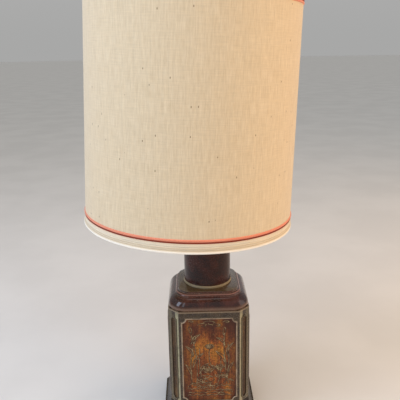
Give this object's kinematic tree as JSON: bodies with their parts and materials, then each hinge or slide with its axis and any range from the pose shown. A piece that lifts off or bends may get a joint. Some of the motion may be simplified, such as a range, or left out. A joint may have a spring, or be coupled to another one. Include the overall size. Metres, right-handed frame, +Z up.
{
  "type": "table lamp",
  "caption": "Table lamp: square metal base with canted corners, etched panels and a round neck; harp, key-switch socket and a wide, slightly tapered drum shade with corded trims.",
  "frame": {"origin": "on the floor, under the centre of the base, on the felt pad's underside", "axes": "+Z up along the base's upright middle line; the lamp's front faces -Y, the cord inlet is at the back (+Y), +X is to the right seen from the front"},
  "size_m": [0.4234, 0.4114, 0.8894],
  "materials": {
    "felt": "short wool felt",
    "base_lacquer": "glossy dark brown lacquer, worn to olive on the edges",
    "etched_copper": "etched and patinated copper sheet, satin",
    "bead_brass": "aged brass bead, olive tone",
    "zinc_steel": "zinc plated",
    "bushing_rubber": "matte",
    "spun_brass": "polished, lightly aged",
    "socket_card": "pressed insulating card",
    "phenolic": "moulded phenolic",
    "contact_brass": "pressed",
    "shade_styrene": "stiff laminated liner",
    "shade_linen": "slubbed linen weave",
    "band_cream": "woven tape",
    "piping_coral": "corded trim",
    "shade_wire": "white enamelled wire",
    "bulb_glass": "inside frosted",
    "bulb_aluminium": "pressed"
  },
  "bodies": {
    "base": {"felt_pad": "felt", "foot": "base_lacquer", "bottom_plate": "zinc_steel", "bottom_washer": "zinc_steel", "bottom_nut": "zinc_steel", "cord_bushing": "bushing_rubber", "body_shell": "base_lacquer", "panel_front": "etched_copper", "panel_right": "etched_copper", "panel_back": "etched_copper", "panel_left": "etched_copper", "frame_front": "bead_brass", "frame_right": "bead_brass", "frame_back": "bead_brass", "frame_left": "bead_brass", "strip_front_right": "etched_copper", "strip_back_right": "etched_copper", "strip_back_left": "etched_copper", "strip_front_left": "etched_copper", "strip_frame_front_right": "bead_brass", "strip_frame_back_right": "bead_brass", "strip_frame_back_left": "bead_brass", "strip_frame_front_left": "bead_brass", "shoulder": "base_lacquer", "neck": "base_lacquer", "neck_cap": "base_lacquer", "pipe": "zinc_steel", "riser": "spun_brass", "nipple": "zinc_steel", "harp_saddle": "spun_brass", "socket_cap": "spun_brass", "socket_liner": "socket_card", "socket_shell": "spun_brass", "switch_body": "phenolic", "screw_shell": "contact_brass", "centre_contact": "contact_brass", "harp_wire": "spun_brass", "harp_stud": "spun_brass"},
    "shade": {"shade_liner": "shade_styrene", "shade_fabric": "shade_linen", "band_bottom": "band_cream", "band_top": "band_cream", "piping_bottom": "piping_coral", "piping_top": "piping_coral", "shade_seam": "shade_linen", "ring_bottom": "shade_wire", "ring_top": "shade_wire", "spider": "shade_wire"},
    "finial": {"finial": "spun_brass"},
    "switch_key": {"switch_key": "phenolic"},
    "ferrule_left": {"ferrule_left": "spun_brass"},
    "ferrule_right": {"ferrule_right": "spun_brass"},
    "bulb": {"bulb_glass": "bulb_glass", "bulb_cap": "bulb_aluminium"}
  },
  "joints": [
    {"name": "shade_swivel", "type": "hinge", "parent": "base", "child": "shade", "pos_m": [-0.01772, 0, 0.85364], "axis": [0.0471, 0, 0.9989], "continuous": true},
    {"name": "finial_turn", "type": "hinge", "parent": "base", "child": "finial", "pos_m": [-0.01772, 0, 0.85364], "axis": [0.0471, 0, 0.9989], "continuous": true},
    {"name": "key_turn", "type": "hinge", "parent": "base", "child": "switch_key", "pos_m": [-0.00568, -0.01, 0.55389], "axis": [0, -1, 0], "continuous": true},
    {"name": "ferrule_left_slide", "type": "slide", "parent": "base", "child": "ferrule_left", "axis": [-0.0401, 0, 0.9992], "range_m": [0, 0.014]},
    {"name": "ferrule_right_slide", "type": "slide", "parent": "base", "child": "ferrule_right", "axis": [-0.0401, 0, 0.9992], "range_m": [0, 0.014]},
    {"name": "bulb_turn", "type": "hinge", "parent": "base", "child": "bulb", "pos_m": [-0.00696, 0, 0.58586], "axis": [-0.0401, 0, 0.9992], "continuous": true}
  ]
}
